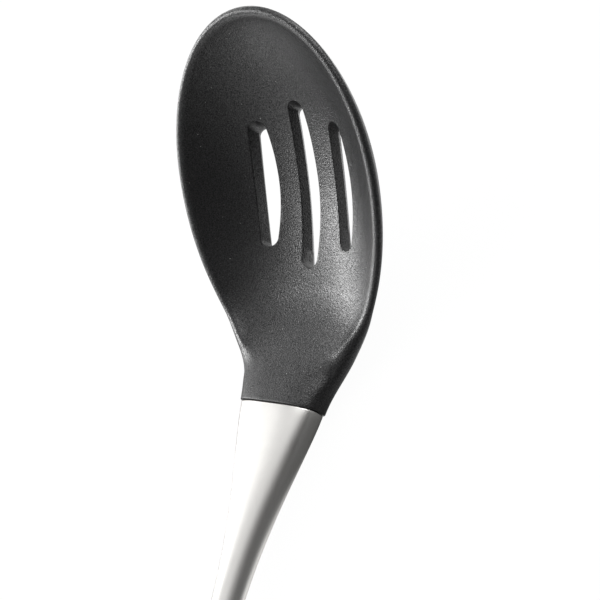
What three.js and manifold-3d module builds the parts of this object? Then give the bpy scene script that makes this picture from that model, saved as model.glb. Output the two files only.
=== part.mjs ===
// A slotted serving spoon. A moulded nylon head, with a bowl, three drain slots, a cranked neck
// and a ribbed tang, is bonded into a hollow handle pressed from two steel half shells. A cast eye
// closes the far end of the handle.
//
// Millimetres, +Z up. The spoon lies on its back: the handle's axis runs along X, the bowl points
// to +X and opens upwards. The origin is under the middle of the whole spoon, on the table.
import * as THREE from "three";
import { mergeVertices } from "three/addons/utils/BufferGeometryUtils.js";
import Module from "manifold-3d";

// Bowl
const BOWL_WIDTH = 69.5; // over the rim, at the widest point
const BOWL_FRONT = 49.4; // from the widest point to the tip
const BOWL_REAR = 62.5; // from the widest point back to the handle's mouth, along the spine
const BOWL_DEPTH = 15.5; // rim to floor at the widest point
const BOWL_WALL = 4.4; // floor thickness
const BOWL_ROUNDNESS = 1.9; // exponent of the front outline: 2 is an ellipse, less is more pointed
const RIM_WIDTH = 3; // from the edge of the dish to the outermost edge
const RIM_EASE = 1; // the dish begins to turn over into the rim this much earlier
const RIM_DROP = 1.4; // from the rim's crest down to the outermost edge
const CREST_AT_TIP = 0.3; // how far the crest lies inside the outermost edge
const CREST_AT_SIDE = 1;
const CREST_AT_REAR = 2;

// Neck, which turns the bowl up out of the handle's line
const CRANK_ANGLE = THREE.MathUtils.degToRad(38);
const CRANK_RADIUS = 48;
const NECK_OVERHANG = 0.4; // how far the nylon stands proud of the steel
const NECK_FLARE = 0.125; // how fast the outline widens where it leaves the mouth
const RIM_FADE = [6, 34]; // the rim grows out of the neck's round side between these places
const CREST_FADE = 35; // and its crest moves outwards from here to the widest point
const SECTION_FADE = 41; // the section turns from the mouth's oval to the bowl's dish over this length
const DISH_FADE = [5, 20]; // and its top leaves the oval between these places
const SHOULDER_WIDTH = 3.5; // the round shoulder along each side of the neck
const SHOULDER_LEDGE = 1.2; // from the edge of the dish to its crest
const SHOULDER_EASE = 2; // the dish begins to turn over into it this much earlier
const SHOULDER_DROP = 2.8; // from its crest down to the outermost edge
const SHOULDER_RISE = 1.6; // how far its crest stands above the bowl's rim
const SHOULDER_AT = 23.5; // where it is full
const SHOULDER_END = 45.7; // where it has run out into the rim

// How far the head's long curves keep their direction at each end
const NECK_SIDE_RUN = 15.7;
const BOWL_SIDE_RUN = 35.7;
const NECK_TOP_RUN = 15;
const BOWL_FLOOR_RUN = 29.5;
const NECK_BACK_RUN = 14;
const BOWL_BACK_RUN = 26.5;

// Drain slots, wider in the middle than at their rounded ends
const SLOT_WIDTH = 6.9;
const SLOT_END_RADIUS = 2.7;
const SLOT_PITCH = 13.65;
const MIDDLE_SLOT_LENGTH = 47;
const SIDE_SLOT_LENGTH = 36;
const SLOT_SETBACK = 2.5; // the slots' middle lies this far behind the widest point
const SLOT_LEAN = THREE.MathUtils.degToRad(35); // they run down towards the handle
const SLOT_DRAFT = THREE.MathUtils.degToRad(12);
const SLOT_THROAT = 0.68; // the narrowest place, as a share of the depth
const SLOT_FLARE = 0.8; // how far the sides open again below it

// Handle shells
const SHELL_LENGTH = 206;
const STEEL_WALL = 1;
const MOUTH_WIDTH = 26;
const MOUTH_HEIGHT = 11.6;
const MOUTH_TAPER = 0.13; // how fast each side draws in behind the mouth
const MOUTH_RUN = 13; // how far it keeps that taper
const WAIST_DIAMETER = 8.6;
const WAIST_AT = 62; // all handle stations are measured back from the mouth
const WAIST_RUN = 29; // how far the sides lie nearly level before the waist
const GRIP_WIDTH = 19;
const GRIP_HEIGHT = 12.9;
const GRIP_AT = 150;
const END_WIDTH = 13.6;
const END_HEIGHT = 8.4;

// Tang and bond
const PILOT_LENGTH = 6; // the close-fitting land behind the mouth
const TANG_LENGTH = 34;
const TANG_INSET = 2; // tang to cavity wall, filled by the bond
const TANG_RIB_HEIGHT = 0.9;
const TANG_RIB_LENGTH = 2.4;
const TANG_RIBS = 3;
const BOND_OVERRUN = 6; // solid resin beyond the tang's end

// Hanging eye
const EYE_LENGTH = 21;
const EYE_WIDTH = 15;
const EYE_THICKNESS = 5;
const EYE_EDGE_ROUND = 0.8;
const EYE_HOLE_WIDTH = 7.4;
const EYE_HOLE_LENGTH = 11;
const SPIGOT_LENGTH = 10;

// Clearances
const FIT_GAP = 0.3; // around what slides into the handle
const SEAM_GAP = 0.1; // between faces that are welded or seated

// Fineness of the facets
const ROUND_SEGMENTS = 28;
const TOP_STEPS = 8;
const EASE_STEPS = 3;
const EDGE_STEPS = 3;
const REAR_STEPS = 15;
const FRONT_STEPS = 26;
const SLOT_END_STEPS = 8;
const SLOT_SIDE_STEPS = 8;

const wasm = await Module();
wasm.setup();

const smooth = (value, start, end) => THREE.MathUtils.smoothstep(value, start, end);

// Closed solids and booleans

function solidOf(geometry) {
  const bare = geometry.clone();
  bare.deleteAttribute("normal");
  bare.deleteAttribute("uv");
  const merged = mergeVertices(bare);
  const corners = merged.index.array;
  const kept = [];
  for (let i = 0; i < corners.length; i += 3) {
    const [a, b, c] = [corners[i], corners[i + 1], corners[i + 2]];
    if (a !== b && b !== c && c !== a) kept.push(a, b, c);
  }
  const mesh = new wasm.Mesh({
    numProp: 3,
    vertProperties: merged.attributes.position.array,
    triVerts: new Uint32Array(kept),
  });
  return new wasm.Manifold(mesh);
}

function geometryOf(solid) {
  const mesh = solid.getMesh();
  const geometry = new THREE.BufferGeometry();
  geometry.setAttribute("position", new THREE.BufferAttribute(mesh.vertProperties, 3));
  geometry.setIndex(new THREE.BufferAttribute(mesh.triVerts, 1));
  const flat = geometry.toNonIndexed();
  flat.computeVertexNormals();
  return flat;
}

function geometryFromTriangles(points) {
  const geometry = new THREE.BufferGeometry().setFromPoints(points);
  geometry.setIndex([...points.keys()]);
  return geometry;
}

// Triangles between two lines of as many points.
function strip(first, second) {
  const points = [];
  for (let j = 0; j + 1 < first.length; j++) {
    points.push(first[j], second[j], first[j + 1]);
    points.push(first[j + 1], second[j], second[j + 1]);
  }
  return points;
}

// A solid skinned over rings that follow each other towards -X, its ends closed flat.
function loft(rings) {
  const points = [];
  const closed = rings.map((ring) => [...ring, ring[0]]);
  for (let i = 0; i + 1 < closed.length; i++) points.push(...strip(closed[i], closed[i + 1]));
  const centre = (ring) =>
    ring.reduce((sum, p) => sum.add(p), new THREE.Vector3()).divideScalar(ring.length);
  const [first, last] = [closed[0], closed[closed.length - 1]];
  const [front, back] = [centre(rings[0]), centre(rings[rings.length - 1])];
  for (let j = 0; j + 1 < first.length; j++) {
    points.push(front, first[j], first[j + 1]);
    points.push(back, last[j + 1], last[j]);
  }
  return solidOf(geometryFromTriangles(points));
}

function box(low, high) {
  const size = new THREE.Vector3().subVectors(high, low);
  const geometry = new THREE.BoxGeometry(size.x, size.y, size.z);
  const middle = new THREE.Vector3().addVectors(low, high).multiplyScalar(0.5);
  return solidOf(geometry.translate(middle.x, middle.y, middle.z));
}

// Handle sections: superellipses whose half width and half height follow the handle's length

const bezier = (a, b, c, d) =>
  new THREE.CubicBezierCurve(
    new THREE.Vector2(...a),
    new THREE.Vector2(...b),
    new THREE.Vector2(...c),
    new THREE.Vector2(...d),
  );

// The height of a curve whose x only grows, at a given x.
function heightAt(curve, x) {
  let [low, high] = [0, 1];
  for (let i = 0; i < 40; i++) {
    const middle = (low + high) / 2;
    if (curve.getPoint(middle).x < x) low = middle;
    else high = middle;
  }
  return curve.getPoint((low + high) / 2).y;
}

const WAIST = WAIST_DIAMETER / 2;

// Draws in from the mouth with the mouth's taper and arrives level at the waist.
function drawIn(mouth, taper) {
  const leaving = [MOUTH_RUN, mouth - taper * MOUTH_RUN];
  return bezier([0, mouth], leaving, [WAIST_AT - WAIST_RUN, WAIST], [WAIST_AT, WAIST]);
}
const mouthWidthCurve = drawIn(MOUTH_WIDTH / 2, MOUTH_TAPER);
const mouthHeightCurve = drawIn(MOUTH_HEIGHT / 2, 0);

function handleHalf(station, curve, grip, end) {
  if (station <= WAIST_AT) return heightAt(curve, Math.max(station, 0));
  if (station <= GRIP_AT) return THREE.MathUtils.lerp(WAIST, grip, smooth(station, WAIST_AT, GRIP_AT));
  const past = (station - GRIP_AT) / (SHELL_LENGTH - GRIP_AT);
  return THREE.MathUtils.lerp(grip, end, past * past);
}
const handleHalfWidth = (station) => handleHalf(station, mouthWidthCurve, GRIP_WIDTH / 2, END_WIDTH / 2);
const handleHalfHeight = (station) =>
  handleHalf(station, mouthHeightCurve, GRIP_HEIGHT / 2, END_HEIGHT / 2);

const MOUTH_SQUARENESS = 3;
const GRIP_SQUARENESS = 2.3;
const handleSquareness = (station) =>
  station <= WAIST_AT
    ? THREE.MathUtils.lerp(MOUTH_SQUARENESS, 2, smooth(station, 0, WAIST_AT))
    : THREE.MathUtils.lerp(2, GRIP_SQUARENESS, smooth(station, WAIST_AT, GRIP_AT));

const power = (value, exponent) => Math.sign(value) * Math.abs(value) ** exponent;

// A superellipse in a plane across X, counter-clockwise as seen from +X.
function ellipseRing(x, halfWidth, halfHeight, squareness) {
  return Array.from({ length: ROUND_SEGMENTS }, (_, i) => {
    const turn = (2 * Math.PI * i) / ROUND_SEGMENTS;
    const y = halfWidth * power(Math.cos(turn), 2 / squareness);
    const z = halfHeight * power(Math.sin(turn), 2 / squareness);
    return new THREE.Vector3(x, y, z);
  });
}

// The handle's outer section at a station, drawn in all round by an inset.
function handleRing(station, inset, x = -station) {
  const halfWidth = handleHalfWidth(station) - inset;
  const halfHeight = handleHalfHeight(station) - inset;
  return ellipseRing(x, halfWidth, halfHeight, handleSquareness(station));
}

const stationsBetween = (start, end, longest) => {
  const count = Math.max(1, Math.ceil((end - start) / longest));
  return Array.from({ length: count + 1 }, (_, i) => THREE.MathUtils.lerp(start, end, i / count));
};

const SHELL_STEP = 6.5;
const BOND_STEP = 5;

function handleShells() {
  const stations = stationsBetween(0, SHELL_LENGTH, SHELL_STEP);
  const outer = loft(stations.map((s) => handleRing(s, 0, -s - SEAM_GAP)));
  const past = 1; // the cavity's ends run through the faces that they open
  const cavity = loft([
    handleRing(0, STEEL_WALL, past),
    ...stations.map((s) => handleRing(s, STEEL_WALL, -s - SEAM_GAP)),
    handleRing(SHELL_LENGTH, STEEL_WALL, -SHELL_LENGTH - SEAM_GAP - past),
  ]);
  const tube = outer.subtract(cavity);
  const far = 2 * SHELL_LENGTH;
  const above = box(new THREE.Vector3(-far, -far, SEAM_GAP / 2), new THREE.Vector3(far, far, far));
  const below = box(new THREE.Vector3(-far, -far, -far), new THREE.Vector3(far, far, -SEAM_GAP / 2));
  return { front: tube.intersect(above), back: tube.intersect(below) };
}

// Tang: a close pilot land at the mouth, then a slimmer ribbed stem that the bond grips

// The stem's rings as [station, inset from the cavity's wall], grown on every side by a clearance.
function stemSteps(grown) {
  const stem = TANG_INSET - grown;
  const rib = stem - TANG_RIB_HEIGHT;
  const halfRib = TANG_RIB_LENGTH / 2 + grown;
  const pitch = (TANG_LENGTH - PILOT_LENGTH) / (TANG_RIBS + 1);
  const steps = [[PILOT_LENGTH, stem]];
  for (let i = 1; i <= TANG_RIBS; i++) {
    const middle = PILOT_LENGTH + i * pitch;
    steps.push([middle - halfRib, stem], [middle - halfRib, rib]);
    steps.push([middle + halfRib, rib], [middle + halfRib, stem]);
  }
  steps.push([TANG_LENGTH + grown, stem]);
  return steps;
}

const cavityRing = (station, inset, x = -station) => handleRing(station, STEEL_WALL + inset, x);

function tang() {
  const root = 2; // the part of the tang that is one with the neck
  const pilot = [cavityRing(0, FIT_GAP, root), cavityRing(PILOT_LENGTH, FIT_GAP)];
  return loft([...pilot, ...stemSteps(0).map(([s, inset]) => cavityRing(s, inset))]);
}

// Resin cast round the tang: it fills the cavity from the pilot land to past the tang's end.
function bond() {
  const [start, end] = [PILOT_LENGTH + FIT_GAP, TANG_LENGTH + BOND_OVERRUN];
  const plug = loft(stationsBetween(start, end, BOND_STEP).map((s) => cavityRing(s, FIT_GAP)));
  const socket = loft(stemSteps(FIT_GAP).map(([s, inset]) => cavityRing(s, inset)));
  return plug.subtract(socket);
}

// Head: half profiles, from the top of the middle line out over the rim and back underneath

const NECK_HALF_WIDTH = MOUTH_WIDTH / 2 + NECK_OVERHANG;
const NECK_HALF_HEIGHT = MOUTH_HEIGHT / 2 + NECK_OVERHANG;
const CRANK_LENGTH = CRANK_RADIUS * CRANK_ANGLE;

// A point given along the spine, to the side and square to the spine, in the spoon's frame.
function onSpine(along, side, lift) {
  const turned = Math.min(along / CRANK_RADIUS, CRANK_ANGLE);
  const straight = Math.max(along - CRANK_LENGTH, 0);
  const [sine, cosine] = [Math.sin(turned), Math.cos(turned)];
  const x = CRANK_RADIUS * sine + straight * cosine - lift * sine;
  const z = CRANK_RADIUS * (1 - cosine) + straight * sine + lift * cosine;
  return new THREE.Vector3(x, side, z);
}

// Curves from the mouth to the bowl's widest point: the outline, the floor and the back.
const outlineCurve = bezier(
  [0, NECK_HALF_WIDTH],
  [NECK_SIDE_RUN, NECK_HALF_WIDTH + NECK_FLARE * NECK_SIDE_RUN],
  [BOWL_REAR - BOWL_SIDE_RUN, BOWL_WIDTH / 2],
  [BOWL_REAR, BOWL_WIDTH / 2],
);
const floorCurve = bezier(
  [0, NECK_HALF_HEIGHT],
  [NECK_TOP_RUN, NECK_HALF_HEIGHT],
  [BOWL_REAR - BOWL_FLOOR_RUN, -BOWL_DEPTH],
  [BOWL_REAR, -BOWL_DEPTH],
);
const backCurve = bezier(
  [0, -NECK_HALF_HEIGHT],
  [NECK_BACK_RUN, -NECK_HALF_HEIGHT],
  [BOWL_REAR - BOWL_BACK_RUN, -BOWL_DEPTH - BOWL_WALL],
  [BOWL_REAR, -BOWL_DEPTH - BOWL_WALL],
);

// How the dish rises from floor to rim: 1 in the middle, 0 at the edge.
const dish = (share, squareness, fullness) => (1 - Math.min(share, 1) ** squareness) ** fullness;
const CROSS_FULLNESS = 0.79; // across the bowl
const LONG_FULLNESS = 0.56; // towards the tip
const RIM_AT_MOUTH = 0.15; // the share of the rim that is left at the mouth
const lerp = THREE.MathUtils.lerp;

// The head's section across the neck or the rear of the bowl.
function sectionAt(along) {
  const grown = smooth(along, 0, SECTION_FADE);
  const rim = lerp(RIM_AT_MOUTH, 1, smooth(along, ...RIM_FADE));
  const crest = rim * lerp(CREST_AT_REAR, CREST_AT_SIDE, smooth(along, CREST_FADE, BOWL_REAR));
  const shoulder = smooth(along, 0, SHOULDER_AT) * (1 - smooth(along, SHOULDER_AT, SHOULDER_END));
  return {
    reach: heightAt(outlineCurve, along),
    floor: heightAt(floorCurve, along),
    back: heightAt(backCurve, along),
    squareness: lerp(MOUTH_SQUARENESS, 2, grown),
    fullness: lerp(1 / MOUTH_SQUARENESS, CROSS_FULLNESS, grown),
    ease: lerp(RIM_EASE * rim, SHOULDER_EASE, shoulder),
    inner: lerp(RIM_WIDTH * rim, SHOULDER_WIDTH + SHOULDER_LEDGE, shoulder),
    crest: lerp(crest, SHOULDER_WIDTH, shoulder),
    rise: SHOULDER_RISE * shoulder,
    drop: lerp(RIM_DROP * rim, SHOULDER_DROP, shoulder),
    dished: smooth(along, ...DISH_FADE),
  };
}

// The bowl's section from its widest point in a direction towards the tip.
function sectionTowards(ahead, aside) {
  const n = BOWL_ROUNDNESS;
  const half = BOWL_WIDTH / 2;
  const reach = ((ahead / BOWL_FRONT) ** n + (aside / half) ** n) ** (-1 / n);
  const across = ((reach * aside) / half) ** n;
  return {
    reach,
    floor: -BOWL_DEPTH,
    back: -BOWL_DEPTH - BOWL_WALL,
    squareness: 2,
    fullness: lerp(LONG_FULLNESS, CROSS_FULLNESS, across),
    ease: RIM_EASE,
    inner: RIM_WIDTH,
    crest: lerp(CREST_AT_TIP, CREST_AT_SIDE, across),
    rise: 0,
    drop: RIM_DROP,
    dished: 1,
  };
}

// The section that holds a point of the head, and how far out in it the point lies.
function sectionUnder(along, side) {
  const ahead = along - BOWL_REAR;
  if (ahead <= 0) return [sectionAt(along), Math.abs(side)];
  const out = Math.hypot(ahead, side);
  return [sectionTowards(ahead / out, Math.abs(side) / out), out];
}

function topHeight(section, out) {
  const share = out / (section.reach - section.inner);
  return lerp(section.rise, section.floor, dish(share, section.squareness, section.fullness));
}

function backHeight(section, out) {
  const share = out / section.reach;
  const edge = section.rise - section.drop;
  return lerp(edge, section.back, dish(share, section.squareness, section.fullness));
}

// A smooth run from the side of the dish up on to the rim's crest.
function rimEase(section, start, crest) {
  const small = 0.01 * section.ease;
  const [low, high] = [topHeight(section, start), section.rise];
  const slope = (low - topHeight(section, start - small)) / small;
  const away = (0.4 * Math.hypot(crest - start, high - low)) / Math.hypot(1, slope);
  const flat = 0.33 * (crest - start);
  const curve = bezier([start, low], [start + away, low + away * slope], [crest - flat, high], [crest, high]);
  return curve.getPoints(EASE_STEPS).slice(1, -1).map((p) => [p.x, p.y]);
}

// A point of the mouth's oval, stretched to the section's size.
function ovalPoint(section, turn) {
  const edge = section.rise - section.drop;
  const out = section.reach * Math.sin(turn) ** (2 / MOUTH_SQUARENESS);
  return [out, lerp(edge, section.floor, Math.cos(turn) ** (2 / MOUTH_SQUARENESS))];
}

// One half profile as [distance from the middle, height], from top middle to bottom middle.
function halfProfile(section) {
  const { reach, rise, drop, dished } = section;
  const crest = reach - section.crest;
  const eased = reach - section.inner - section.ease;
  const shares = Array.from({ length: TOP_STEPS + 1 }, (_, i) => Math.sin((i / TOP_STEPS) * (Math.PI / 2)));
  const edge = rimEase(section, eased, crest);
  for (let i = 0; i <= EDGE_STEPS; i++) {
    const turn = (i / EDGE_STEPS) * (Math.PI / 2);
    edge.push([lerp(crest, reach, Math.sin(turn)), rise + drop * (Math.cos(turn) - 1)]);
  }
  const top = [...shares.map((u) => [eased * u, topHeight(section, eased * u)]), ...edge];
  const turns = shares.map((u) => Math.asin(((eased * u) / reach) ** (MOUTH_SQUARENESS / 2)));
  const rest = turns[TOP_STEPS];
  edge.forEach((_, i) => turns.push(lerp(rest, Math.PI / 2, (i + 1) / edge.length)));
  const points = top.map(([out, lift], i) => {
    const oval = ovalPoint(section, turns[i]);
    return [lerp(oval[0], out, dished), lerp(oval[1], lift, dished)];
  });
  for (const u of shares.slice(0, -1).reverse()) points.push([reach * u, backHeight(section, reach * u)]);
  return points;
}

const rearProfile = (along, side) =>
  halfProfile(sectionAt(along)).map(([out, lift]) => onSpine(along, side * out, lift));

function frontProfile(turn) {
  const ahead = BOWL_FRONT * power(Math.cos(turn), 2 / BOWL_ROUNDNESS);
  const aside = (BOWL_WIDTH / 2) * power(Math.sin(turn), 2 / BOWL_ROUNDNESS);
  const reach = Math.hypot(ahead, aside);
  const profile = halfProfile(sectionTowards(ahead / reach, Math.abs(aside) / reach));
  return profile.map(([out, lift]) =>
    onSpine(BOWL_REAR + (ahead / reach) * out, (aside / reach) * out, lift),
  );
}

// The head without its slots and tang: profiles down one side, round the tip and back up the other.
function headShell() {
  const alongs = stationsBetween(0, BOWL_REAR, BOWL_REAR / REAR_STEPS);
  const turns = stationsBetween(-Math.PI / 2, Math.PI / 2, Math.PI / FRONT_STEPS).slice(1, -1);
  const profiles = [
    ...alongs.map((along) => rearProfile(along, -1)),
    ...turns.map(frontProfile),
    ...alongs.toReversed().map((along) => rearProfile(along, 1)),
  ];
  const points = profiles.flatMap((profile, i) => strip(profiles[(i + 1) % profiles.length], profile));
  return solidOf(geometryFromTriangles(points));
}

// A slot's outline in the bowl's plan, grown on every side.
function slotPlan(side, length, grown) {
  const radius = SLOT_END_RADIUS + grown;
  const run = length / 2 - SLOT_END_RADIUS;
  const middle = BOWL_REAR - SLOT_SETBACK;
  const plan = [];
  for (const end of [1, -1]) {
    for (let i = 0; i <= SLOT_END_STEPS; i++) {
      const turn = (i / SLOT_END_STEPS - 0.5) * Math.PI;
      plan.push([middle + end * (run + radius * Math.cos(turn)), side + end * radius * Math.sin(turn)]);
    }
    for (let i = 1; i < SLOT_SIDE_STEPS; i++) {
      const share = 1 - (2 * i) / SLOT_SIDE_STEPS;
      const bulge = (SLOT_WIDTH / 2 - SLOT_END_RADIUS) * (1 - share ** 2);
      plan.push([middle + end * run * share, side + end * (radius + bulge)]);
    }
  }
  return plan;
}

// A ring of a slot's cut. Its depth under the floor comes from depthAt, which gets the floor's height
// and the depth right through.
function slotRing(side, length, grown, depthAt) {
  const lean = Math.tan(SLOT_LEAN);
  return slotPlan(side, length, grown).map(([along, out]) => {
    const top = topHeight(...sectionUnder(along, out));
    let through = BOWL_WALL;
    for (let i = 0; i < 6; i++) through = top - backHeight(...sectionUnder(along - through * lean, out));
    const depth = depthAt(top, through);
    return onSpine(along - depth * lean, out, top - depth);
  });
}

// A slot cutter: drafted from the floor down to the throat, and flared from there to the back.
function slotCutter(side, length) {
  const clear = 3; // how far it runs past the rim and the back
  const past = 0.3; // the flare ends this far outside the back
  const narrow = -BOWL_WALL * SLOT_THROAT * Math.tan(SLOT_DRAFT);
  const wide = narrow + SLOT_FLARE;
  const lowest = -BOWL_DEPTH - BOWL_WALL - clear;
  return loft([
    slotRing(side, length, 0, (top) => top - clear),
    slotRing(side, length, 0, () => 0),
    slotRing(side, length, narrow, (top, through) => SLOT_THROAT * through),
    slotRing(side, length, wide, (top, through) => through + past),
    slotRing(side, length, wide, (top) => top - lowest),
  ]);
}

function head() {
  const slots = [
    slotCutter(0, MIDDLE_SLOT_LENGTH),
    slotCutter(SLOT_PITCH, SIDE_SLOT_LENGTH),
    slotCutter(-SLOT_PITCH, SIDE_SLOT_LENGTH),
  ];
  return slots.reduce((solid, slot) => solid.subtract(slot), headShell()).add(tang());
}

// Hanging eye: a flat rounded tab with a long hole, a shoulder on the shell's end and a spigot in it

function hangingEye() {
  const seat = -SHELL_LENGTH - 2 * SEAM_GAP;
  const half = EYE_WIDTH / 2;
  const tabEnd = seat - EYE_LENGTH;
  const outline = new THREE.Shape();
  outline.moveTo(seat, -END_WIDTH / 2 + EYE_EDGE_ROUND);
  outline.lineTo(seat, END_WIDTH / 2 - EYE_EDGE_ROUND);
  outline.lineTo(tabEnd + half, half - EYE_EDGE_ROUND);
  outline.absarc(tabEnd + half, 0, half - EYE_EDGE_ROUND, Math.PI / 2, 1.5 * Math.PI, false);
  outline.closePath();
  const wall = (EYE_WIDTH - EYE_HOLE_WIDTH) / 2;
  const radius = EYE_HOLE_WIDTH / 2 + EYE_EDGE_ROUND;
  const rear = tabEnd + wall + EYE_HOLE_WIDTH / 2;
  const front = rear + EYE_HOLE_LENGTH - EYE_HOLE_WIDTH;
  const hole = new THREE.Path();
  hole.absarc(front, 0, radius, -Math.PI / 2, Math.PI / 2, false);
  hole.absarc(rear, 0, radius, Math.PI / 2, 1.5 * Math.PI, false);
  outline.holes.push(hole);
  const tab = new THREE.ExtrudeGeometry(outline, {
    depth: EYE_THICKNESS - 2 * EYE_EDGE_ROUND,
    bevelSize: EYE_EDGE_ROUND,
    bevelThickness: EYE_EDGE_ROUND,
    bevelSegments: 2,
    curveSegments: 12,
  }).translate(0, 0, EYE_EDGE_ROUND - EYE_THICKNESS / 2);
  const beforeSeat = box(
    new THREE.Vector3(tabEnd - EYE_LENGTH, -EYE_WIDTH, -EYE_WIDTH),
    new THREE.Vector3(seat, EYE_WIDTH, EYE_WIDTH),
  );
  const shoulderLength = EYE_LENGTH - wall - EYE_HOLE_LENGTH - EYE_EDGE_ROUND;
  const shoulder = loft([
    handleRing(SHELL_LENGTH, 0, seat),
    ellipseRing(seat - shoulderLength, END_WIDTH / 2 - EYE_EDGE_ROUND, EYE_THICKNESS / 2, GRIP_SQUARENESS),
  ]);
  const inset = STEEL_WALL + FIT_GAP;
  const spigotRing = (s) => handleRing(s, inset, -s - 2 * SEAM_GAP);
  const spigotStations = stationsBetween(SHELL_LENGTH - SPIGOT_LENGTH, SHELL_LENGTH, SHELL_STEP);
  const root = 1; // the part of the spigot inside the shoulder
  const spigot = loft([...spigotStations.map(spigotRing), handleRing(SHELL_LENGTH, inset, seat - root)]);
  return solidOf(tab).intersect(beforeSeat).add(shoulder).add(spigot);
}

// Materials and assembly

const nylon = new THREE.MeshStandardMaterial({ color: 0x2b2b2d, roughness: 0.55, metalness: 0 });
const steel = new THREE.MeshStandardMaterial({ color: 0xc9c7c3, roughness: 0.35, metalness: 1 });
const resin = new THREE.MeshStandardMaterial({ color: 0xb8ab8c, roughness: 0.4, metalness: 0 });

function piece(name, solid, material) {
  const mesh = new THREE.Mesh(geometryOf(solid), material);
  mesh.name = name;
  return mesh;
}

const shells = handleShells();
const assembly = new THREE.Group();
assembly.add(
  piece("nylon_head", head(), nylon),
  piece("tang_bond", bond(), resin),
  piece("handle_front_shell", shells.front, steel),
  piece("handle_back_shell", shells.back, steel),
  piece("hanging_eye", hangingEye(), steel),
);

// Stand the spoon on the table, with the origin under its middle.
const extent = new THREE.Box3().setFromObject(assembly);
const middle = extent.getCenter(new THREE.Vector3());
assembly.position.set(-middle.x, -middle.y, -extent.min.z);

const spoon = new THREE.Group();
spoon.name = "slotted_spoon";
spoon.add(assembly);

export default spoon;
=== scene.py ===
# A slotted serving spoon: a black moulded nylon head, with a bowl, three drain slots and a cranked
# neck, seated in the mouth of a hollow satin steel handle that ends in a hanging eye.

import math

import bmesh
import bpy
from mathutils import Euler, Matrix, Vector


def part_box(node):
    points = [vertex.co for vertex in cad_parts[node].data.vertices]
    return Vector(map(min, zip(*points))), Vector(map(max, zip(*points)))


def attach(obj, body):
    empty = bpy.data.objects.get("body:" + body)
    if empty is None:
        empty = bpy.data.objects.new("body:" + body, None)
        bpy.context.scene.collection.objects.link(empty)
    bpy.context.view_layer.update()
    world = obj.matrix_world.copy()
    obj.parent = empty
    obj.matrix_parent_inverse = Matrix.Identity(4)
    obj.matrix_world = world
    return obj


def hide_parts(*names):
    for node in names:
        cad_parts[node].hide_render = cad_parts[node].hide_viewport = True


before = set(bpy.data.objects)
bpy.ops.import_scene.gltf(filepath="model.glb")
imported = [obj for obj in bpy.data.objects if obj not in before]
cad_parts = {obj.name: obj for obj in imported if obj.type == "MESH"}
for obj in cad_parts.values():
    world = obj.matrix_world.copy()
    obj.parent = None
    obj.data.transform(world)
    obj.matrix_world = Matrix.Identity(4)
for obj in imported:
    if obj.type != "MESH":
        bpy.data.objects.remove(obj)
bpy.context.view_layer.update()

MM = 0.001

# Where the head meets the handle: the middle of the handle's mouth, from the frame.
# The sizes from here on are in millimetres where nothing else is said.
SEAM_GAP = 0.1
shell_low, shell_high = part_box("handle_front_shell")
MOUTH = Vector((shell_high.x + SEAM_GAP * MM, 0, shell_low.z - SEAM_GAP / 2 * MM))

# Bowl
head_low, head_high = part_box("nylon_head")
BOWL_HALF_WIDTH = (head_high.y - head_low.y) / 2 / MM
BOWL_FRONT = 49.4
BOWL_REAR = 62.5
BOWL_DEPTH = 15.5
BOWL_WALL = 4.4
BOWL_ROUNDNESS = 2.03
BOWL_SQUARENESS = 2.4
CROSS_FULLNESS = 1
LONG_FULLNESS = 0.85
BACK_FULLNESS = 0.85
RIM_ROUND = 1.27
RIM_LEDGE = 1
RIM_EASE = 1
EASE_SLOPE_SHARE = 0.4
EASE_LEVEL_SHARE = 0.33
EASE_STEP_SHARE = 0.01

# Neck. A fade is the two places along the spine where a change begins and ends
CRANK_ANGLE = math.radians(38)
CRANK_RADIUS = 48
NECK_HALF_WIDTH = 13.4
NECK_HALF_HEIGHT = 6.2
NECK_END_ROUND = 0.35
NECK_SQUARENESS = 3
NECK_FLARE = 1.96
RIM_AT_MOUTH = 0.03
RIM_GROWTH = 15
SECTION_FADE = 41
SHOULDER_ROUND = 5.2
SHOULDER_FADE = (6, 31)
SHOULDER_RISE = 2.2
RISE_GROWTH = 12
RISE_FADE = (12, 26)
DISH_FADE = (5, 20)

# How far each curve of the head holds the neck's direction at its start and the bowl's at its end
OUTLINE_RUNS = (15.7, 35.7)
FLOOR_RUNS = (15, 29.5)
BACK_RUNS = (14, 26.5)

# Drain slots
MIDDLE_SLOT_HALF_WIDTH = 3.3
SIDE_SLOT_HALF_WIDTH = 3.5
SLOT_END_RADIUS = 2.55
SLOT_PITCH = 13.65
MIDDLE_SLOT_LENGTH = 46.7
SIDE_SLOT_LENGTH = 35.7
SLOT_SETBACK = 2.5
SLOT_LEAN = math.radians(35)
SLOT_DRAFT = math.radians(12)
SLOT_TOP_ROUND = 0.2
SLOT_THROAT = 0.68
SLOT_FLARE = 0.8

# Tang inside the handle
TANG_LENGTH = 34
PILOT_LENGTH = 6
TANG_FIT = 1.3
TANG_INSET = 3
TANG_RIB_HEIGHT = 0.9
TANG_RIB_LENGTH = 2.4
TANG_RIBS = 3

# Handle. Stations are measured back from the mouth, where the neck stands a step proud of the steel
HANDLE_LENGTH = (shell_high.x - shell_low.x) / MM
STEEL_WALL = 1
MOUTH_EDGE_ROUND = 0.5
MOUTH_STEP = 0.4
MOUTH_HALF_WIDTH = NECK_HALF_WIDTH - MOUTH_STEP
MOUTH_HALF_HEIGHT = NECK_HALF_HEIGHT - MOUTH_STEP
MOUTH_TAPER = 0.13
MOUTH_RUN = 13
WAIST_HALF = 4.3
WAIST_AT = 62
WAIST_RUN = 29
WAIST_SQUARENESS = 2
GRIP_HALF_WIDTH = 9.5
GRIP_HALF_HEIGHT = 6.45
GRIP_AT = 150
GRIP_SQUARENESS = 2.3
END_HALF_WIDTH = 6.8
END_HALF_HEIGHT = 4.2

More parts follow.
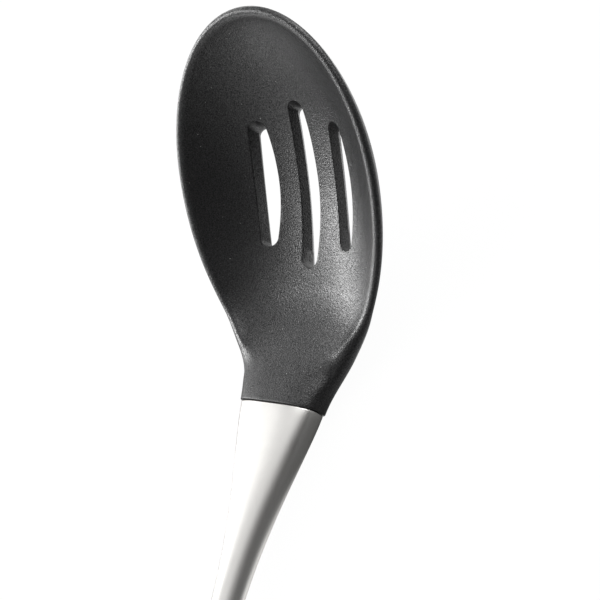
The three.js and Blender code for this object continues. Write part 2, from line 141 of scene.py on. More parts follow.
# Hanging eye. Its seat is given along X from the mouth
EYE_LENGTH = 21
EYE_HALF_WIDTH = 7.5
EYE_HALF_THICKNESS = 2.5
EYE_SQUARENESS = 5
EYE_SHOULDER = 7
EYE_NOSE = EYE_LENGTH - EYE_HALF_WIDTH
EYE_SEAT = -HANDLE_LENGTH - 2 * SEAM_GAP
EYE_SEAT_ROUND = 0.3
EYE_HOLE_HALF_WIDTH = 3.7
EYE_HOLE_LENGTH = 11
EYE_HOLE_ROUND = 0.8
SPIGOT_LENGTH = 10
SPIGOT_FIT = 0.3

# Finishes. Roughness goes from clean to handled places, and bump heights are in metres
NYLON_DARK = (0.013, 0.013, 0.0135, 1)
NYLON_PALE = (0.017, 0.017, 0.0175, 1)
NYLON_ROUGHNESS = (0.29, 0.34)
DUST = (0.35, 0.35, 0.34, 1)
GRAINS_PER_METRE = 3000
TONES_PER_METRE = 60
GRAIN_GLINT = (-0.35, 1.35)
GRAIN_HEIGHT = 0.00012
STEEL_CLEAN = (0.73, 0.72, 0.70, 1)
STEEL_HANDLED = (0.67, 0.66, 0.64, 1)
STEEL_EDGE_TINT = (0.25, 0.25, 0.24, 1)
STEEL_ROUGHNESS = (0.37, 0.43)
BRUSHING_STRENGTH = 0.15
BRUSHING_HEIGHT = 0.00002
RESIN_PALE = (0.48, 0.42, 0.28, 1)
RESIN_DARK = (0.40, 0.33, 0.20, 1)
RESIN_ROUGHNESS = (0.3, 0.45)

# Studio. Soft glows around the spoon: direction, strength and narrowness
GLOWS = (
    ((-0.17, 0.93, 0.33), 28, 70),
    ((-0.37, 0.76, 0.53), 9, 70),
    ((0.40, 0.78, 0.48), 6.5, 70),
    ((-0.35, 0.67, 0.66), 2.2, 12),
    ((0.74, -0.27, 0.61), 7.5, 12),
    ((-0.78, 0.45, 0.43), 0.8, 12),
    ((-0.98, -0.04, 0.20), 0.6, 12),
    ((0.21, 0.00, 0.98), 0.95, 12),
)
ROOM = 0.06
BACKDROP_WHITE = 1
FLOOR_WHITE = 0.97
FLOOR_SHADE = (0.03, 0.03, 0.03, 1)
# The floor's side, in metres
FLOOR_SIZE = 6
# How the floor shines in reflections: an axis, two places on it in metres and the strengths there
FLOOR_SHINE = (
    ("Y", (0.06, 0.15), (0.1, 3)),
    ("X", (0.065, 0.09), (0.1, 0.7)),
    ("X", (-0.3, -0.6), (0.1, 1.4)),
)
# The bright strip under the spoon, in metres: its middle, and how far from it the fade begins and ends
STRIP_MIDDLE = 0.006
STRIP_FADE = (0.012, 0.018)
STRIP_SHINE = 1.6
# The photo's view: lens, sensor, the place from the middle of the mouth, and the turn in degrees
LENS = 112.32
SENSOR = 36
VIEW_FROM = (-88.06, -327.2, 391.99)
VIEW_TURN = (24.738, 35.045, -71.078)

# Fineness of the meshes
REAR_STEPS = 84
FRONT_STEPS = 120
DISH_STEPS = 40
EDGE_STEPS = 6
NECK_END_STEPS = 5
SLOT_END_STEPS = 24
SLOT_SIDE_STEP = 0.5
AROUND_STEPS = 112
HANDLE_STEP = 2
SPIGOT_STEPS = 5
EYE_STEPS = 40
EYE_NOSE_STEPS = 36
EYE_HOLE_END_STEPS = 32
CURVE_HALVINGS = 40
LEAN_PASSES = 6
CUTTER_CLEAR = 3
SLOT_CUTTER_PAST = 0.01
EYE_CUTTER_PAST = 0.005
SMOOTH_ANGLE = math.radians(35)
# Points closer than these, in metres, are one point, and thinner faces are none
WELD = 1e-6
SLIVER = 1e-7

# The turns of a rounded edge, and of a ring that ends where it began
QUARTER = [i / EDGE_STEPS * math.pi / 2 for i in range(EDGE_STEPS + 1)]
AROUND = [2 * math.pi * (i % AROUND_STEPS) / AROUND_STEPS for i in range(AROUND_STEPS + 1)]


# Curves


def smooth(value, start, end):
    """0 before the start, 1 past the end and an even change between."""
    share = min(max((value - start) / (end - start), 0), 1)
    return share * share * (3 - 2 * share)


def lerp(start, end, share):
    return start + (end - start) * share


def power(value, exponent):
    """A power that keeps the sign."""
    return math.copysign(abs(value) ** exponent, value)


def bezier_at(values, t):
    a, b, c, d = values
    s = 1 - t
    return s**3 * a + 3 * s * s * t * b + 3 * s * t * t * c + t**3 * d


def bezier_height(points, x):
    """The height at x of a cubic curve whose x only grows."""
    xs, ys = zip(*points)
    low, high = 0, 1
    for _ in range(CURVE_HALVINGS):
        middle = (low + high) / 2
        if bezier_at(xs, middle) < x:
            low = middle
        else:
            high = middle
    return bezier_at(ys, (low + high) / 2)


def round_end(run, radius, end, steps):
    """Half a circle around one end, 1 or -1, of a long hole that is straight for twice the run."""
    turns = [(i / steps - 0.5) * math.pi for i in range(steps + 1)]
    return [(end * (run + radius * math.cos(turn)), end * radius * math.sin(turn)) for turn in turns]


def place(x, y, z):
    """A point given in millimetres from the middle of the mouth, in the spoon's frame."""
    return MOUTH + Vector((x, y, z)) * MM


def on_spine(along, side, lift):
    """A point of the head, from its distance along the cranked spine, to the side and above it."""
    turned = min(along / CRANK_RADIUS, CRANK_ANGLE)
    straight = max(along - CRANK_RADIUS * CRANK_ANGLE, 0)
    sine, cosine = math.sin(turned), math.cos(turned)
    x = CRANK_RADIUS * sine + straight * cosine - lift * sine
    z = CRANK_RADIUS * (1 - cosine) + straight * sine + lift * cosine
    return place(x, side, z)


# The head's surfaces


def neck_to_bowl(at_neck, at_bowl, runs, flare=0):
    """A curve over the spine from a size of the neck to a size of the bowl's widest place."""
    near, far = runs
    return ((0, at_neck), (near, at_neck + flare), (BOWL_REAR - far, at_bowl), (BOWL_REAR, at_bowl))


HEAD_OUTLINE = neck_to_bowl(NECK_HALF_WIDTH, BOWL_HALF_WIDTH, OUTLINE_RUNS, NECK_FLARE)
HEAD_FLOOR = neck_to_bowl(NECK_HALF_HEIGHT, -BOWL_DEPTH, FLOOR_RUNS)
HEAD_BACK = neck_to_bowl(-NECK_HALF_HEIGHT, -BOWL_DEPTH - BOWL_WALL, BACK_RUNS)


def dish(share, squareness, fullness):
    """How deep a dish is, from 1 in its middle to 0 at its edge."""
    return max(1 - min(share, 1) ** squareness, 0) ** fullness


def section_at(along):
    """The head's section at a place on the neck or the rear of the bowl."""
    grown = smooth(along, 0, SECTION_FADE)
    rim = lerp(RIM_AT_MOUTH, 1, smooth(along, 0, RIM_GROWTH))
    rounded = rim * lerp(SHOULDER_ROUND, RIM_ROUND, smooth(along, *SHOULDER_FADE))
    raised = smooth(along, 0, RISE_GROWTH) * (1 - smooth(along, *RISE_FADE))
    eased = max(NECK_END_ROUND - along, 0)
    drawn = NECK_END_ROUND - math.sqrt(max(NECK_END_ROUND**2 - eased**2, 0))
    return {
        "reach": bezier_height(HEAD_OUTLINE, along) - drawn,
        "floor": bezier_height(HEAD_FLOOR, along) - drawn,
        "back": bezier_height(HEAD_BACK, along) + drawn,
        "squareness": lerp(NECK_SQUARENESS, BOWL_SQUARENESS, grown),
        "fullness": lerp(1 / NECK_SQUARENESS, CROSS_FULLNESS, grown),
        "ease": RIM_EASE * rim,
        "inner": rounded + RIM_LEDGE * rim,
        "round": rounded,
        "rise": SHOULDER_RISE * raised,
        "dished": smooth(along, *DISH_FADE),
    }


def section_towards(ahead, aside):
    """The bowl's section in a direction from its widest point towards the tip."""
    lengthways = (ahead / BOWL_FRONT) ** BOWL_ROUNDNESS
    sideways = (aside / BOWL_HALF_WIDTH) ** BOWL_ROUNDNESS
    across = sideways / (lengthways + sideways)
    return {
        "reach": (lengthways + sideways) ** (-1 / BOWL_ROUNDNESS),
        "floor": -BOWL_DEPTH,
        "back": -BOWL_DEPTH - BOWL_WALL,
        "squareness": BOWL_SQUARENESS,
        "fullness": lerp(LONG_FULLNESS, CROSS_FULLNESS, across),
        "ease": RIM_EASE,
        "inner": RIM_ROUND + RIM_LEDGE,
        "round": RIM_ROUND,
        "rise": 0,
        "dished": 1,
    }


def section_under(along, side):
    """The section that holds a point of the head, and how far out in it the point lies."""
    ahead = along - BOWL_REAR
    if ahead <= 0:
        return section_at(along), abs(side)
    out = math.hypot(ahead, side)
    return section_towards(ahead / out, abs(side) / out), out


def top_height(section, out):
    share = out / (section["reach"] - section["inner"])
    return lerp(section["rise"], section["floor"], dish(share, section["squareness"], section["fullness"]))


def back_height(section, out):
    edge = section["rise"] - section["round"]
    fullness = min(section["fullness"], BACK_FULLNESS)
    return lerp(edge, section["back"], dish(out / section["reach"], section["squareness"], fullness))


def oval_point(section, turn):
    """A point of the mouth's oval, stretched to the section's size."""
    out = section["reach"] * math.sin(turn) ** (2 / NECK_SQUARENESS)
    edge = section["rise"] - section["round"]
    return out, lerp(edge, section["floor"], math.cos(turn) ** (2 / NECK_SQUARENESS))


def rim_ease(section, start, end):
    """A smooth run from the side of the dish on to the level top of the rim."""
    small = EASE_STEP_SHARE * section["ease"]
    low, high = top_height(section, start), section["rise"]
    slope = (low - top_height(section, start - small)) / small
    away = EASE_SLOPE_SHARE * math.hypot(end - start, high - low) / math.hypot(1, slope)
    xs = (start, start + away, end - EASE_LEVEL_SHARE * (end - start), end)
    ys = (low, low + away * slope, high, high)
    steps = 2 * EDGE_STEPS
    return [(bezier_at(xs, i / steps), bezier_at(ys, i / steps)) for i in range(1, steps)]


def half_profile(section):
    """Points from the top of the middle out over the rounded rim and back underneath, as (out, lift)."""
    reach, rounded, rise = section["reach"], section["round"], section["rise"]
    crest = reach - rounded
    eased = reach - section["inner"] - section["ease"]
    shares = [math.sin(i / DISH_STEPS * math.pi / 2) for i in range(DISH_STEPS + 1)]
    edge = rim_ease(section, eased, crest)
    edge += [(crest + rounded * math.sin(a), rise + rounded * (math.cos(a) - 1)) for a in QUARTER]
    top = [(eased * share, top_height(section, eased * share)) for share in shares] + edge
    if section["dished"] < 1:
        turns = [math.asin((eased * share / reach) ** (NECK_SQUARENESS / 2)) for share in shares]
        start, step = turns[-1], (math.pi / 2 - turns[-1]) / len(edge)
        turns += [min(start + i * step, math.pi / 2) for i in range(1, len(edge) + 1)]
        ovals = [oval_point(section, turn) for turn in turns]
        top = [
            (lerp(oval_out, out, section["dished"]), lerp(oval_lift, lift, section["dished"]))
            for (oval_out, oval_lift), (out, lift) in zip(ovals, top)
        ]
    return top + [(reach * share, back_height(section, reach * share)) for share in reversed(shares[:-1])]


# Modelling


def deselect():
    for thing in bpy.context.selected_objects:
        thing.select_set(False)


def make_active(thing):
    deselect()
    bpy.context.view_layer.objects.active = thing
    thing.select_set(True)


def edit(thing):
    make_active(thing)
    bpy.ops.object.mode_set(mode="EDIT")


def leave():
    bpy.ops.object.mode_set(mode="OBJECT")


def rolled_sheet(name, lines):
    """A sheet whose lines of points are laid where they belong, with the edges that meet welded."""
    deselect()
    bpy.ops.mesh.primitive_grid_add(x_subdivisions=len(lines[0]) - 1, y_subdivisions=len(lines) - 1)
    thing = bpy.context.object
    thing.name = name
    thing.data.name = name
    points = [point for line in lines for point in line]
    thing.data.vertices.foreach_set("co", [value for point in points for value in point])
    edit(thing)
    bpy.ops.mesh.select_all(action="SELECT")
    bpy.ops.mesh.remove_doubles(threshold=WELD)
    bpy.ops.mesh.dissolve_degenerate(threshold=SLIVER)
    leave()
    return thing


def select_where(thing, test):
    """In edit mode: the vertices that pass a test of their place."""
    bpy.ops.mesh.select_all(action="DESELECT")
    bpy.ops.mesh.select_mode(type="VERT")
    mesh = bmesh.from_edit_mesh(thing.data)
    for vertex in mesh.verts:
        vertex.select_set(test(vertex.co))
    mesh.select_flush(True)
    bmesh.update_edit_mesh(thing.data)


def close_ends(thing):
    """Fills each open end with a face and turns all faces outwards."""
    edit(thing)
    bpy.ops.mesh.select_all(action="DESELECT")
    bpy.ops.mesh.select_mode(type="EDGE")
    bpy.ops.mesh.select_non_manifold(
        use_wire=False, use_multi_face=False, use_non_contiguous=False, use_verts=False
    )
    bpy.ops.mesh.edge_face_add()
    bpy.ops.mesh.select_all(action="SELECT")
    bpy.ops.mesh.normals_make_consistent(inside=False)
    leave()


def cut(thing, cutter):
    """Takes the cutter's shape out of a piece, and the cutter away."""
    modifier = thing.modifiers.new("cut", "BOOLEAN")
    modifier.object = cutter
    modifier.operation = "DIFFERENCE"
    modifier.solver = "EXACT"
    make_active(thing)
    bpy.ops.object.modifier_apply(modifier=modifier.name)
    bpy.data.objects.remove(cutter)


def finish_piece(thing, material, slot, *nodes):
    """Smooths a piece, gives it its finish and hides the nodes of the frame that it stands for."""
    make_active(thing)
    bpy.ops.object.shade_smooth_by_angle(angle=SMOOTH_ANGLE)
    thing.data.materials.clear()
    thing.data.materials.append(material)
    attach(thing, "root")
    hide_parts(*nodes)


# Head


def slot_plan(side, length, grown):
    """A round-ended ring in the bowl's plan, a little wider in the middle than at the ends."""
    half_width = SIDE_SLOT_HALF_WIDTH if side else MIDDLE_SLOT_HALF_WIDTH
    radius = SLOT_END_RADIUS + grown
    run = length / 2 - SLOT_END_RADIUS
    middle = BOWL_REAR - SLOT_SETBACK
    side_steps = round(run / SLOT_SIDE_STEP)
    plan = []
    for end in (1, -1):
        plan += round_end(run, radius, end, SLOT_END_STEPS)
        for i in range(1, side_steps):
            share = 1 - 2 * i / side_steps
            bulge = (half_width - SLOT_END_RADIUS) * (1 - share * share)
            plan.append((end * run * share, end * (radius + bulge)))
    plan.append(plan[0])
    return [(middle + a, side + b) for a, b in plan]


def slot_ring(side, length, grown, depth_at):
    """A ring of the slot's cut, which leans towards the handle. Its depth under the floor's top comes from
    depth_at, which gets the floor's height and the cut's depth right through."""
    lean = math.tan(SLOT_LEAN)
    ring = []
    for along, out in slot_plan(side, length, grown):
        top = top_height(*section_under(along, out))
        through = BOWL_WALL
        for _ in range(LEAN_PASSES):
            through = top - back_height(*section_under(along - through * lean, out))
        depth = depth_at(top, through)
        ring.append(on_spine(along - depth * lean, out, top - depth))
    return ring


def slot_cutter(side, length):
    """A drafted cutter, rounded at the floor's top and flared at its back."""
    past = SLOT_CUTTER_PAST
    below = -BOWL_DEPTH - BOWL_WALL - CUTTER_CLEAR
    narrow = -BOWL_WALL * SLOT_THROAT * math.tan(SLOT_DRAFT)

    def top_round(angle):
        drop = SLOT_TOP_ROUND * (1 - math.sin(angle)) - past
        return slot_ring(side, length, SLOT_TOP_ROUND * (1 - math.cos(angle)), lambda top, through: drop)

    lines = [slot_ring(side, length, SLOT_TOP_ROUND, lambda top, through: top - CUTTER_CLEAR)]
    lines += [top_round(angle) for angle in reversed(QUARTER)]
    lines.append(slot_ring(side, length, narrow, lambda top, through: SLOT_THROAT * through))
    lines.append(slot_ring(side, length, narrow + SLOT_FLARE, lambda top, through: through + past))
    lines.append(slot_ring(side, length, narrow + SLOT_FLARE, lambda top, through: top - below))
    cutter = rolled_sheet("slot_cutter", lines)
    close_ends(cutter)
    return cutter


def grow_tang(thing):
    """Draws the tang out of the neck's end face: a close pilot land, then a ribbed stem."""
    pitch = (TANG_LENGTH - PILOT_LENGTH) / (TANG_RIBS + 1)
    rib = TANG_INSET - TANG_RIB_HEIGHT
    steps = [(0, TANG_FIT), (PILOT_LENGTH, TANG_FIT), (PILOT_LENGTH, TANG_INSET)]
    for i in range(1, TANG_RIBS + 1):
        middle = PILOT_LENGTH + i * pitch
        low, high = middle - TANG_RIB_LENGTH / 2, middle + TANG_RIB_LENGTH / 2
        steps += [(low, TANG_INSET), (low, rib), (high, rib), (high, TANG_INSET)]
    steps.append((TANG_LENGTH, TANG_INSET))
    edit(thing)
    select_where(thing, lambda co: co.x < MOUTH.x + WELD)
    station = 0
    half_width = NECK_HALF_WIDTH - NECK_END_ROUND
    half_height = NECK_HALF_HEIGHT - NECK_END_ROUND
    for next_station, inset in steps:
        next_width = handle_half_width(next_station) - inset
        next_height = handle_half_height(next_station) - inset
        bpy.ops.mesh.extrude_region_move(
            TRANSFORM_OT_translate={"value": ((station - next_station) * MM, 0, 0)}
        )
        bpy.ops.transform.resize(
            value=(1, next_width / half_width, next_height / half_height),
            center_override=place(-next_station, 0, 0),
        )
        station, half_width, half_height = next_station, next_width, next_height
    bpy.ops.mesh.select_all(action="SELECT")
    bpy.ops.mesh.normals_make_consistent(inside=False)
    leave()


def rear_stations():
    """Places along the neck and the rear of the bowl, close together at the rounded end."""
    turns = [i / NECK_END_STEPS * math.pi / 2 for i in range(NECK_END_STEPS)]
    step = (BOWL_REAR - NECK_END_ROUND) / REAR_STEPS
    rounded = [NECK_END_ROUND * (1 - math.cos(turn)) for turn in turns]
    return rounded + [NECK_END_ROUND + i * step for i in range(REAR_STEPS + 1)]


def nylon_head(material):
    """Half profiles in turn along one side, around the tip and back along the other side."""
    rear = [(along, half_profile(section_at(along))) for along in rear_stations()]
    lines = [[on_spine(along, -out, lift) for out, lift in profile] for along, profile in rear]
    for i in range(1, FRONT_STEPS):
        turn = (i / FRONT_STEPS - 0.5) * math.pi
        ahead = BOWL_FRONT * power(math.cos(turn), 2 / BOWL_ROUNDNESS)
        aside = BOWL_HALF_WIDTH * power(math.sin(turn), 2 / BOWL_ROUNDNESS)
        reach = math.hypot(ahead, aside)
        ahead, aside = ahead / reach, aside / reach
        profile = half_profile(section_towards(ahead, abs(aside)))
        lines.append([on_spine(BOWL_REAR + ahead * out, aside * out, lift) for out, lift in profile])
    for along, profile in reversed(rear):
        lines.append([on_spine(along, out, lift) for out, lift in profile])
    head = rolled_sheet("spoon_head", lines)
    close_ends(head)
    cut(head, slot_cutter(0, MIDDLE_SLOT_LENGTH))
    for side in (-SLOT_PITCH, SLOT_PITCH):
        cut(head, slot_cutter(side, SIDE_SLOT_LENGTH))
    grow_tang(head)
    finish_piece(head, material, "nylon", "nylon_head")


# Handle


def handle_half(station, mouth, taper, grip, end):
    """Half the handle's width or height: drawn in to the waist, then full at the grip, then less."""
    if station <= WAIST_AT:
        draw_in = (
            (0, mouth),
            (MOUTH_RUN, mouth - MOUTH_RUN * taper),
            (WAIST_AT - WAIST_RUN, WAIST_HALF),
            (WAIST_AT, WAIST_HALF),
        )
        return bezier_height(draw_in, max(station, 0))
    if station <= GRIP_AT:
        return lerp(WAIST_HALF, grip, smooth(station, WAIST_AT, GRIP_AT))
    past = (station - GRIP_AT) / (HANDLE_LENGTH - GRIP_AT)
    return lerp(grip, end, past * past)


def handle_half_width(station):
    return handle_half(station, MOUTH_HALF_WIDTH, MOUTH_TAPER, GRIP_HALF_WIDTH, END_HALF_WIDTH)


def handle_half_height(station):
    return handle_half(station, MOUTH_HALF_HEIGHT, 0, GRIP_HALF_HEIGHT, END_HALF_HEIGHT)


def handle_squareness(station):
    if station <= WAIST_AT:
        return lerp(NECK_SQUARENESS, WAIST_SQUARENESS, smooth(station, 0, WAIST_AT))
    return lerp(WAIST_SQUARENESS, GRIP_SQUARENESS, smooth(station, WAIST_AT, GRIP_AT))


def handle_ring(station, inset, shift=SEAM_GAP):
    """An oval ring of the handle, inset from its skin and shifted back by the gaps before it."""
    half_width = handle_half_width(station) - inset
    half_height = handle_half_height(station) - inset
    exponent = 2 / handle_squareness(station)
    points = []
    for turn in AROUND:
        y = half_width * power(math.cos(turn), exponent)
        z = half_height * power(math.sin(turn), exponent)
        points.append(place(-station - shift, y, z))
    return points


def edge_steps(radius):
    """A rounded edge as (distance from the end, inset), from the side to the end."""
    return [(radius * (1 - math.sin(a)), radius * (1 - math.cos(a))) for a in QUARTER]


def steel_handle(material):
    """One closed skin over both half shells: along the outside from rounded end to end, and back inside."""
    edge = edge_steps(MOUTH_EDGE_ROUND)
    count = round(HANDLE_LENGTH / HANDLE_STEP)
    between = HANDLE_LENGTH - 2 * MOUTH_EDGE_ROUND
    rings = list(reversed(edge))
    rings += [(MOUTH_EDGE_ROUND + between * i / count, 0) for i in range(1, count)]
    rings += [(HANDLE_LENGTH - distance, inset) for distance, inset in edge]
    rings += [(HANDLE_LENGTH * (1 - i / count), STEEL_WALL) for i in range(count + 1)]
    lines = [handle_ring(station, inset) for station, inset in rings + rings[:1]]
    handle = rolled_sheet("steel_handle", lines)
    close_ends(handle)
    finish_piece(handle, material, "satin_steel", "handle_front_shell", "handle_back_shell")


# Hanging eye


def eye_section(beyond):
    """Half the width, half the thickness and the squareness of the eye at a place beyond its seat."""
    shoulder = smooth(beyond, 0, EYE_SHOULDER)
    half_width = lerp(END_HALF_WIDTH, EYE_HALF_WIDTH, shoulder)
    half_height = lerp(END_HALF_HEIGHT, EYE_HALF_THICKNESS, shoulder)
    return half_width, half_height, lerp(GRIP_SQUARENESS, EYE_SQUARENESS, shoulder)


def eye_half_thickness(beyond, side):
    """Half the eye's thickness at a place beyond the seat and to the side."""
    half_width, half_height, squareness = eye_section(beyond)
    out = math.hypot(max(beyond - EYE_NOSE, 0), side) / half_width
    return half_height * dish(out, squareness, 1 / squareness)


def eye_ring(beyond):
    half_width, _, squareness = eye_section(beyond)
    past = max(beyond - EYE_NOSE, 0)
    reach = math.sqrt(max(half_width**2 - past**2, 0))
    points = []
    for turn in AROUND:
        y = reach * power(math.cos(turn), 2 / squareness)
        z = math.copysign(eye_half_thickness(beyond, y), math.sin(turn))
        points.append(place(EYE_SEAT - beyond, y, z))
    return points


def eye_hole_cutter():
    """A cutter for the long hole, rounded at both faces of the eye."""
    middle = EYE_LENGTH - (EYE_HALF_WIDTH - EYE_HOLE_HALF_WIDTH) - EYE_HOLE_LENGTH / 2
    run = EYE_HOLE_LENGTH / 2 - EYE_HOLE_HALF_WIDTH
    clear = END_HALF_HEIGHT + CUTTER_CLEAR

    def ring(grown, height):
        radius = EYE_HOLE_HALF_WIDTH + grown
        plan = [point for end in (1, -1) for point in round_end(run, radius, end, EYE_HOLE_END_STEPS)]
        plan = [(middle + a, b) for a, b in plan + plan[:1]]
        return [place(EYE_SEAT - beyond, side, height(beyond, side)) for beyond, side in plan]

    def flare(angle, face):
        grown = EYE_HOLE_ROUND * (1 - math.cos(angle))
        drop = EYE_HOLE_ROUND * (1 - math.sin(angle)) - EYE_CUTTER_PAST
        return ring(grown, lambda beyond, side: face * (eye_half_thickness(beyond, side) - drop))

    lines = [ring(EYE_HOLE_ROUND + CUTTER_CLEAR, lambda beyond, side: clear)]
    lines += [flare(angle, 1) for angle in reversed(QUARTER)]
    lines += [flare(angle, -1) for angle in QUARTER]
    lines.append(ring(EYE_HOLE_ROUND + CUTTER_CLEAR, lambda beyond, side: -clear))
    cutter = rolled_sheet("eye_hole_cutter", lines)
    close_ends(cutter)
    return cutter


def hanging_eye(material):
    """A spigot inside the handle's end, a rounded seat on the end, and the flat eye beyond it."""
    shift = 2 * SEAM_GAP
    start = HANDLE_LENGTH - SPIGOT_LENGTH
    spigot = [start + SPIGOT_LENGTH * i / SPIGOT_STEPS for i in range(SPIGOT_STEPS + 1)]
    seat = list(reversed(edge_steps(EYE_SEAT_ROUND)))[:-1]
    step = (EYE_NOSE - EYE_SEAT_ROUND) / EYE_STEPS
    turns = [i / EYE_NOSE_STEPS * math.pi / 2 for i in range(EYE_NOSE_STEPS + 1)]
    lines = [handle_ring(station, STEEL_WALL + SPIGOT_FIT, shift) for station in spigot]
    lines += [handle_ring(HANDLE_LENGTH, inset, shift + distance) for distance, inset in seat]
    lines += [eye_ring(EYE_SEAT_ROUND + i * step) for i in range(EYE_STEPS)]
    lines += [eye_ring(EYE_NOSE + EYE_HALF_WIDTH * math.sin(turn)) for turn in turns]
    eye = rolled_sheet("hanging_loop", lines)
    close_ends(eye)
    cut(eye, eye_hole_cutter())
    finish_piece(eye, material, "satin_steel", "hanging_eye")


# Resin


def tang_bond(material):
    """The resin around the tang keeps the CAD's solid and gets its own finish."""
    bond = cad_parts["tang_bond"]
    bond.data.materials.clear()
    bond.data.materials.append(material)


# Shader nodes


def feed(tree, socket, value):
    """Gives a socket the output of another node, or a plain value."""
    if isinstance(value, bpy.types.NodeSocket):
        tree.links.new(value, socket)
    else:
        socket.default_value = value


def set_inputs(tree, made, inputs):
    """Feeds a node's inputs by name, with _ for a space."""
    for key, value in inputs.items():
        feed(tree, made.inputs[key.replace("_", " ")], value)


def node(tree, kind, settings=None, **inputs):
    """A new shader node with its settings, and with its inputs named as set_inputs takes them."""
    made = tree.nodes.new("ShaderNode" + kind)
    for key, value in (settings or {}).items():
        setattr(made, key, value)
    set_inputs(tree, made, inputs)
    return made


def maths(tree, operation, *values):
    made = node(tree, "Math", {"operation": operation})
    for socket, value in zip(made.inputs, values):
        feed(tree, socket, value)
    return made.outputs[0]


def ramp(tree, value, places, heights):
    """A value that goes from one height to the other between two places and is level outside them."""
    (start, end), (low, high) = places, heights
    made = node(tree, "MapRange", Value=value, From_Min=start, From_Max=end, To_Min=low, To_Max=high)
    return made.outputs["Result"]


def mix(tree, kind, mask, first, second):
    """The first value or colour where the mask is 0, the second where it is 1."""
    made = node(tree, "Mix", {"data_type": kind}, Factor=mask, A=first, B=second)
    return made.outputs["Result"]


def bump(tree, height, distance, strength=1):
    return node(tree, "Bump", Height=height, Strength=strength, Distance=distance).outputs["Normal"]


def group_value(tree, group, vector, **numbers):
    """The one output of a node group, at a place and with its own numbers."""
    return node(tree, "Group", {"node_tree": group}, Vector=vector, **numbers).outputs[0]


def new_group(name, numbers, output):
    """A node group that reads a place and named numbers: its tree, what it is given, and its output."""
    group = bpy.data.node_groups.new(name, "ShaderNodeTree")
    group.interface.new_socket("Vector", in_out="INPUT", socket_type="NodeSocketVector")
    for number, value in numbers.items():
        socket = group.interface.new_socket(number, in_out="INPUT", socket_type="NodeSocketFloat")
        socket.default_value = value
    group.interface.new_socket(output, in_out="OUTPUT", socket_type="NodeSocketFloat")
    given = group.nodes.new("NodeGroupInput").outputs
    return group, given, group.nodes.new("NodeGroupOutput").inputs[output]


# Finishes


def dust_specks():
    """Sparse pale specks of dust and lint: a mask."""
    numbers = {"Cells per metre": 500, "Size": 0.07, "Share": 0.5}
    group, given, mask = new_group("dust_specks", numbers, "Mask")
    cells = node(group, "TexVoronoi", Vector=given["Vector"], Scale=given["Cells per metre"]).outputs
    chance = node(group, "SeparateColor", Color=cells["Color"]).outputs
    near = maths(group, "LESS_THAN", cells["Distance"], given["Size"])
    chosen = maths(group, "LESS_THAN", chance["Red"], given["Share"])
    speck = maths(group, "MULTIPLY", near, chosen)
    feed(group, mask, maths(group, "MULTIPLY", speck, chance["Green"]))
    return group


def handling_marks():
    """Soft patches where hands and cloths have been: a mask from 0 to 1."""
    group, given, mask = new_group("handling_marks", {"Patches per metre": 45}, "Mask")
    patches = node(group, "TexNoise", Detail=5, Roughness=0.6, Distortion=0.6)
    set_inputs(group, patches, {"Vector": given["Vector"], "Scale": given["Patches per metre"]})
    feed(group, mask, ramp(group, patches.outputs["Fac"], (0.35, 0.7), (0, 1)))
    return group


def fine_brushing():
    """Short hair-fine polishing lines along X: a height."""
    group, given, height = new_group("fine_brushing", {"Lines per metre": 6000}, "Height")
    stretch = node(group, "Mapping", Vector=given["Vector"], Scale=(0.03, 1, 1))
    lines = node(group, "TexNoise", Detail=3, Roughness=0.65)
    set_inputs(group, lines, {"Vector": stretch.outputs["Vector"], "Scale": given["Lines per metre"]})
    feed(group, height, lines.outputs["Fac"])
    return group


def moulded_grain(tree, vector):
    """The fine even grain of a spark-eroded mould: a height, and a tone that changes slowly."""
    fine = node(tree, "TexNoise", Vector=vector, Scale=GRAINS_PER_METRE, Detail=1, Roughness=0.5)
    broad = node(tree, "TexNoise", Vector=vector, Scale=TONES_PER_METRE, Detail=3, Roughness=0.5)
    return fine.outputs["Fac"], broad.outputs["Fac"]


def new_material(name):
    """A material with its node tree, its shader and the place on the piece."""
    material = bpy.data.materials.new(name)
    material.use_nodes = True
    tree = material.node_tree
    return material, tree, tree.nodes["Principled BSDF"], node(tree, "TexCoord").outputs["Object"]


def black_nylon(groups):
    material, tree, shader, vector = new_material("black_nylon")
    height, tone = moulded_grain(tree, vector)
    specks = group_value(tree, groups["specks"], vector)
    marks = group_value(tree, groups["marks"], vector)
    shade = mix(tree, "RGBA", tone, NYLON_DARK, NYLON_PALE)
    finish = {
        "Base Color": mix(tree, "RGBA", specks, shade, DUST),
        "Roughness": ramp(tree, marks, (0, 1), NYLON_ROUGHNESS),
        "Specular IOR Level": ramp(tree, height, (0, 1), GRAIN_GLINT),
        "Normal": bump(tree, height, GRAIN_HEIGHT),
    }
    set_inputs(tree, shader, finish)
    return material


def satin_steel(groups):
    material, tree, shader, vector = new_material("satin_steel")
    brushing = group_value(tree, groups["brushing"], vector)
    marks = group_value(tree, groups["marks"], vector, Patches_per_metre=70)
    finish = {
        "Base Color": mix(tree, "RGBA", marks, STEEL_CLEAN, STEEL_HANDLED),
        "Metallic": 1,
        "Specular Tint": STEEL_EDGE_TINT,
        "Roughness": ramp(tree, marks, (0, 1), STEEL_ROUGHNESS),
        "Normal": bump(tree, brushing, BRUSHING_HEIGHT, BRUSHING_STRENGTH),
    }
    set_inputs(tree, shader, finish)
    return material


def cast_resin(groups):
    material, tree, shader, vector = new_material("cast_resin")
    marks = group_value(tree, groups["marks"], vector, Patches_per_metre=160)
    finish = {
        "Base Color": mix(tree, "RGBA", marks, RESIN_PALE, RESIN_DARK),
        "Roughness": ramp(tree, marks, (0, 1), RESIN_ROUGHNESS),
    }
    set_inputs(tree, shader, finish)
    return material


# Studio


def white_to_camera(tree, white, strength):
    """A light that is white where the camera sees it and has its own strength for all other rays."""
    return mix(tree, "FLOAT", node(tree, "LightPath").outputs["Is Camera Ray"], strength, white)


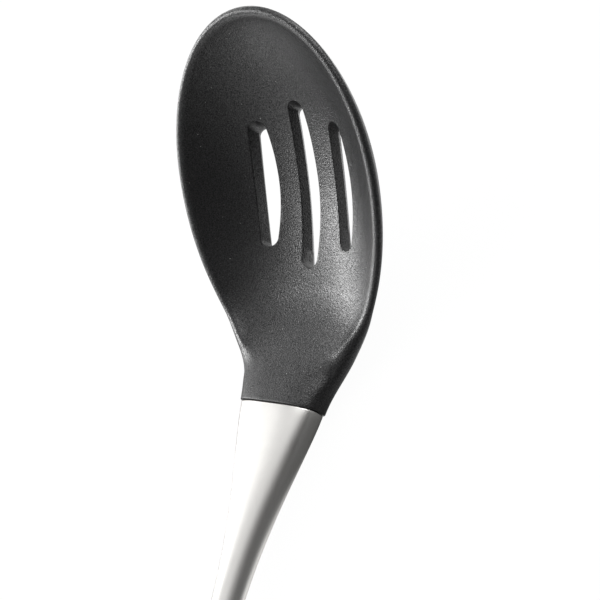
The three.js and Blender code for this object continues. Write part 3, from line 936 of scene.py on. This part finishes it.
def studio_floor():
    """White to the camera. In reflections it is dim, apart from a strip under the spoon, the far side, and
    the ends from the bowl on and far behind the handle."""
    deselect()
    bpy.ops.mesh.primitive_plane_add(size=FLOOR_SIZE)
    thing = bpy.context.object
    thing.name = "floor"
    material = bpy.data.materials.new("white_floor")
    material.use_nodes = True
    tree = material.node_tree
    tree.nodes.clear()
    where = node(tree, "SeparateXYZ", Vector=node(tree, "TexCoord").outputs["Object"]).outputs
    aside = maths(tree, "ABSOLUTE", maths(tree, "SUBTRACT", where["Y"], STRIP_MIDDLE))
    shine = ramp(tree, aside, STRIP_FADE, (STRIP_SHINE, 0))
    for axis, places, strengths in FLOOR_SHINE:
        shine = maths(tree, "MAXIMUM", shine, ramp(tree, where[axis], places, strengths))
    glow = node(tree, "Emission", Strength=white_to_camera(tree, FLOOR_WHITE, shine))
    faint = node(tree, "BsdfDiffuse", Color=FLOOR_SHADE)
    lit = node(tree, "AddShader")
    for socket, part in zip(lit.inputs, (faint, glow)):
        tree.links.new(part.outputs[0], socket)
    tree.links.new(lit.outputs[0], node(tree, "OutputMaterial").inputs["Surface"])
    thing.data.materials.append(material)


def studio_world():
    """A dim room with broad soft glows, white where the camera sees it."""
    made = bpy.data.worlds.new("studio")
    bpy.context.scene.world = made
    made.use_nodes = True
    tree = made.node_tree
    direction = node(tree, "TexCoord").outputs["Generated"]
    light = ROOM
    for towards, strength, narrowness in GLOWS:
        facing = node(tree, "VectorMath", {"operation": "DOT_PRODUCT"})
        feed(tree, facing.inputs[0], direction)
        feed(tree, facing.inputs[1], Vector(towards).normalized())
        ahead = maths(tree, "MAXIMUM", facing.outputs["Value"], 0)
        glow = maths(tree, "MULTIPLY", maths(tree, "POWER", ahead, narrowness), strength)
        light = maths(tree, "ADD", light, glow)
    sky = {"Color": (1, 1, 1, 1), "Strength": white_to_camera(tree, BACKDROP_WHITE, light)}
    set_inputs(tree, tree.nodes["Background"], sky)


def photo_camera():
    data = bpy.data.cameras.new("photo_view")
    data.sensor_width = SENSOR
    data.lens = LENS
    thing = bpy.data.objects.new("photo_view", data)
    bpy.context.scene.collection.objects.link(thing)
    thing.location = place(*VIEW_FROM)
    thing.rotation_euler = Euler([math.radians(turn) for turn in VIEW_TURN])
    bpy.context.scene.camera = thing


def studio():
    studio_floor()
    studio_world()
    photo_camera()
    bpy.context.scene.view_settings.view_transform = "Standard"


groups = {"specks": dust_specks(), "marks": handling_marks(), "brushing": fine_brushing()}
steel = satin_steel(groups)
nylon_head(black_nylon(groups))
steel_handle(steel)
hanging_eye(steel)
tang_bond(cast_resin(groups))
studio()
